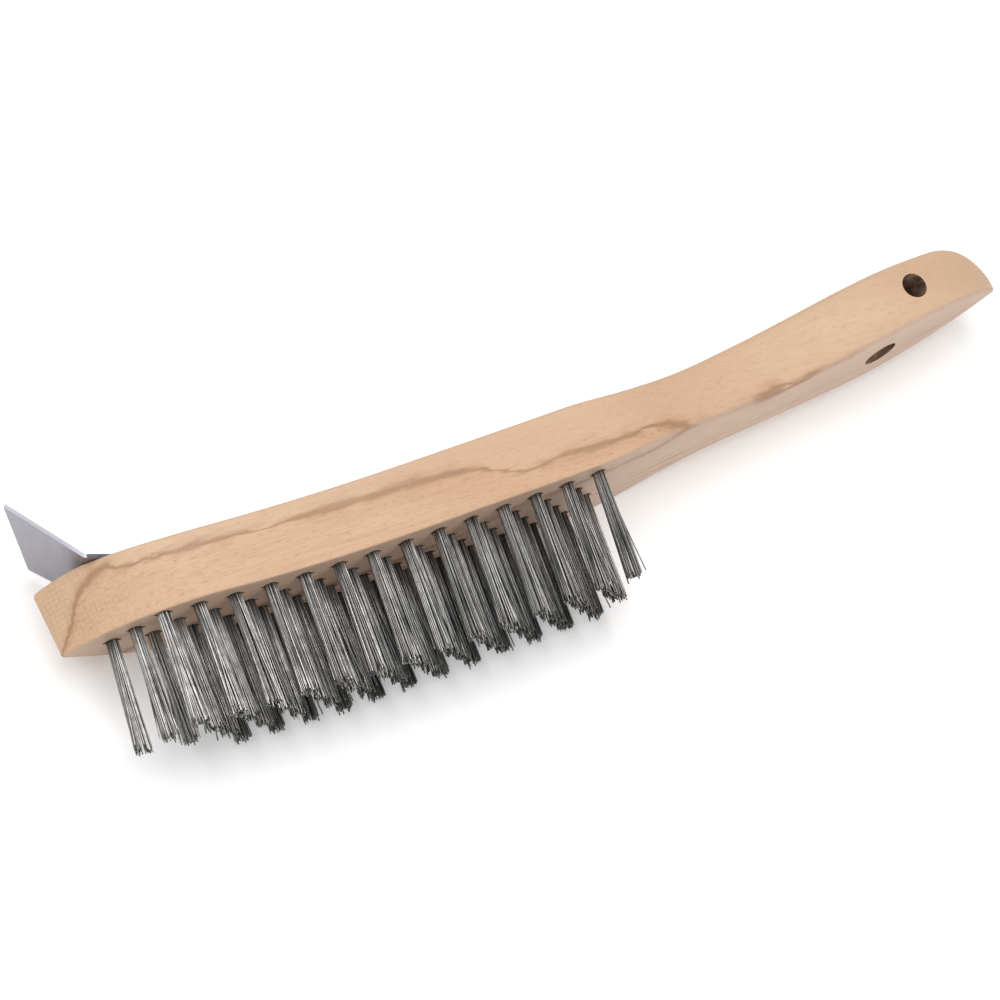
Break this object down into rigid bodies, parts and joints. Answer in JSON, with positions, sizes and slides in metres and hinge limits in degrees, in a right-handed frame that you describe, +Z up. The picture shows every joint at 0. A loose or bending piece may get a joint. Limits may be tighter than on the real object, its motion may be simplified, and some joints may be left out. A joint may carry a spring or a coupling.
{
  "type": "wire brush",
  "caption": "Hand scratch brush: beech block with curved handle, straight steel wire tufts on anchors in drilled holes, and a bent steel scraper on the nose.",
  "frame": {"origin": "middle of the brush's outline on the surface that it lies on, seen from above", "axes": "the brush lies on its side: +X from the nose to the handle's end, +Y away from the bristles, +Z up across the width"},
  "size_m": [0.2914, 0.0718, 0.038],
  "materials": {
    "beech": "raw planed beech, sanded, unvarnished",
    "wire": "drawn straight steel wire, grey, cut ends dark",
    "sheet_steel": "cold-rolled strip, satin, with bright sheared edges",
    "nail_steel": "bright nail heads"
  },
  "bodies": {
    "root": {"block_and_handle": "beech", "scraper_plate": "sheet_steel", "scraper_nail_front": "nail_steel", "scraper_nail_rear": "nail_steel", "tuft_nose_tip": "wire", "tuft_nose_near": "wire", "tuft_nose_middle": "wire", "tuft_row1_01": "wire", "tuft_row1_02": "wire", "tuft_row1_03": "wire", "tuft_row1_04": "wire", "tuft_row1_05": "wire", "tuft_row1_06": "wire", "tuft_row1_07": "wire", "tuft_row1_08": "wire", "tuft_row1_09": "wire", "tuft_row1_10": "wire", "tuft_row1_11": "wire", "tuft_row1_12": "wire", "tuft_row1_13": "wire", "tuft_row1_14": "wire", "tuft_row2_01": "wire", "tuft_row2_02": "wire", "tuft_row2_03": "wire", "tuft_row2_04": "wire", "tuft_row2_05": "wire", "tuft_row2_06": "wire", "tuft_row2_07": "wire", "tuft_row2_08": "wire", "tuft_row2_09": "wire", "tuft_row2_10": "wire", "tuft_row2_11": "wire", "tuft_row2_12": "wire", "tuft_row2_13": "wire", "tuft_row3_01": "wire", "tuft_row3_02": "wire", "tuft_row3_03": "wire", "tuft_row3_04": "wire", "tuft_row3_05": "wire", "tuft_row3_06": "wire", "tuft_row3_07": "wire", "tuft_row3_08": "wire", "tuft_row3_09": "wire", "tuft_row3_10": "wire", "tuft_row3_11": "wire", "tuft_row3_12": "wire", "tuft_row3_13": "wire", "tuft_row4_01": "wire", "tuft_row4_02": "wire", "tuft_row4_03": "wire", "tuft_row4_04": "wire", "tuft_row4_05": "wire", "tuft_row4_06": "wire", "tuft_row4_07": "wire", "tuft_row4_08": "wire", "tuft_row4_09": "wire", "tuft_row4_10": "wire", "tuft_row4_11": "wire", "tuft_row4_12": "wire"}
  },
  "joints": []
}
